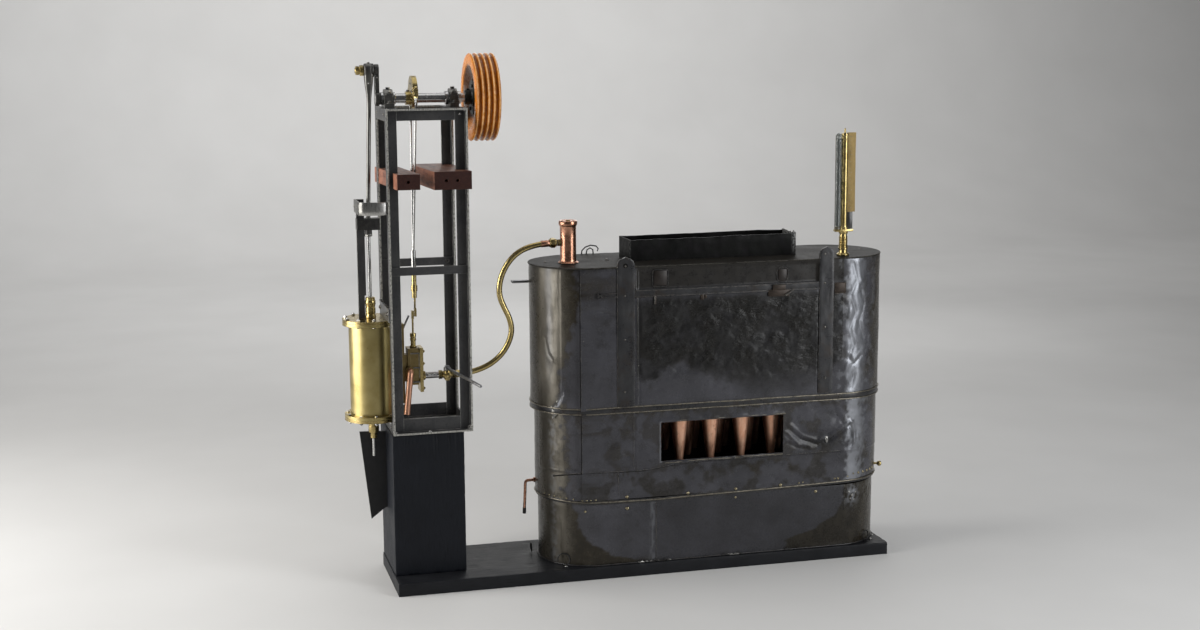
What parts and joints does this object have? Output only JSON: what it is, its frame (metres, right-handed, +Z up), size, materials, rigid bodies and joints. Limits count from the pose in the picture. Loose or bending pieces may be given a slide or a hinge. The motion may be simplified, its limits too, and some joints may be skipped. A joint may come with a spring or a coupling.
{
  "type": "model tower steam engine with water-cone boiler",
  "caption": "Model steam engine: iron tower with overhead crank and upright brass cylinder, grooved pulley, curved steam pipe and oval boiler on one board.",
  "frame": {"origin": "middle of the whole model's box, on the underside of the base board", "axes": "+X along the board from the engine to the boiler, +Y from the front to the back, +Z up"},
  "size_m": [0.7791, 0.1888, 0.7263],
  "materials": {
    "black_wood": "satin black-blue paint on softwood, vertical grain and nicks showing",
    "tower_iron": "blue-grey painted angle iron, worn bright on the edges",
    "mahogany": "reddish brown oiled hardwood",
    "dark_iron": "blackened iron, satin",
    "bright_steel": "turned and filed steel, lightly tarnished",
    "varnished_wood": "orange-brown varnished turned wood, glossy",
    "brass": "polished to satin brass",
    "copper": "copper, warm and lightly oxidised",
    "sooty_sheet": "blackened tinned sheet iron, dented, stained brown and glossy in places",
    "gauge_glass": "clear gauge tube, dull"
  },
  "bodies": {
    "frame": {"base_board": "black_wood", "engine_block": "black_wood", "front_left_post": "tower_iron", "front_right_post": "tower_iron", "back_left_post": "tower_iron", "back_right_post": "tower_iron", "front_rails": "tower_iron", "back_rails": "tower_iron", "side_rails": "tower_iron", "left_bearer": "mahogany", "right_bearer": "mahogany", "shaft_bearings": "dark_iron", "valve_gland": "brass", "valve_chest": "brass", "chest_cover": "brass", "port_block": "brass", "valve_guide": "bright_steel", "inlet_pipe": "bright_steel", "steam_cock": "brass", "steam_pipe": "brass", "exhaust_pipe": "copper", "cylinder_barrel": "brass", "cylinder_covers": "brass", "piston_glands": "brass", "cylinder_bracket": "bright_steel", "black_gusset": "dark_iron", "guide_bar": "dark_iron", "guide_strap": "bright_steel", "upper_front": "sooty_sheet", "upper_back": "sooty_sheet", "upper_left_end": "sooty_sheet", "upper_right_end": "sooty_sheet", "middle_front": "sooty_sheet", "middle_back": "sooty_sheet", "lower_casing": "sooty_sheet", "casing_bands": "sooty_sheet", "boiler_lid": "sooty_sheet", "flue_box": "sooty_sheet", "front_ironwork": "sooty_sheet", "tube_plate": "copper", "water_cones": "copper", "steam_dome": "copper", "water_gauge": "brass", "gauge_glass": "gauge_glass", "boiler_fittings": "copper"},
    "shaft": {"crankshaft": "bright_steel", "crank_arm": "dark_iron", "pulley": "varnished_wood", "pulley_hub": "dark_iron", "eccentric_sheave": "brass"},
    "eccentric_rod": {"eccentric_strap": "brass", "eccentric_fork": "bright_steel", "fork_ferrule": "brass"},
    "piston_set": {"piston_rod": "bright_steel", "piston": "bright_steel", "crosshead": "dark_iron"},
    "conrod": {"connecting_rod": "bright_steel", "crank_pin": "brass"},
    "valve": {"valve_rod": "brass"},
    "cock_handle": {"cock_lever": "bright_steel"}
  },
  "joints": [
    {"name": "crankshaft_turn", "type": "hinge", "parent": "frame", "child": "shaft", "pos_m": [-0.28405, 0.0249, 0.667], "axis": [1, 0, 0], "continuous": true},
    {"name": "eccentric_swing", "type": "hinge", "parent": "shaft", "child": "eccentric_rod", "pos_m": [-0.28605, 0.0249, 0.675], "axis": [1, 0, 0], "continuous": true},
    {"name": "piston_slide", "type": "slide", "parent": "frame", "child": "piston_set", "axis": [0, 0, 1], "range_m": [-0.075, 0]},
    {"name": "conrod_swing", "type": "hinge", "parent": "piston_set", "child": "conrod", "pos_m": [-0.35105, 0.0249, 0.501], "axis": [1, 0, 0], "range_deg": [-11, 11]},
    {"name": "valve_slide", "type": "slide", "parent": "frame", "child": "valve", "axis": [0, 0, 1], "range_m": [-0.015, 0]},
    {"name": "cock_turn", "type": "hinge", "parent": "frame", "child": "cock_handle", "pos_m": [-0.24905, 0.0154, 0.296], "axis": [0, 0, 1], "range_deg": [-60, 0]}
  ],
  "couplings": [
    {"joint": "eccentric_swing", "follows": "crankshaft_turn", "ratio": -1}
  ]
}
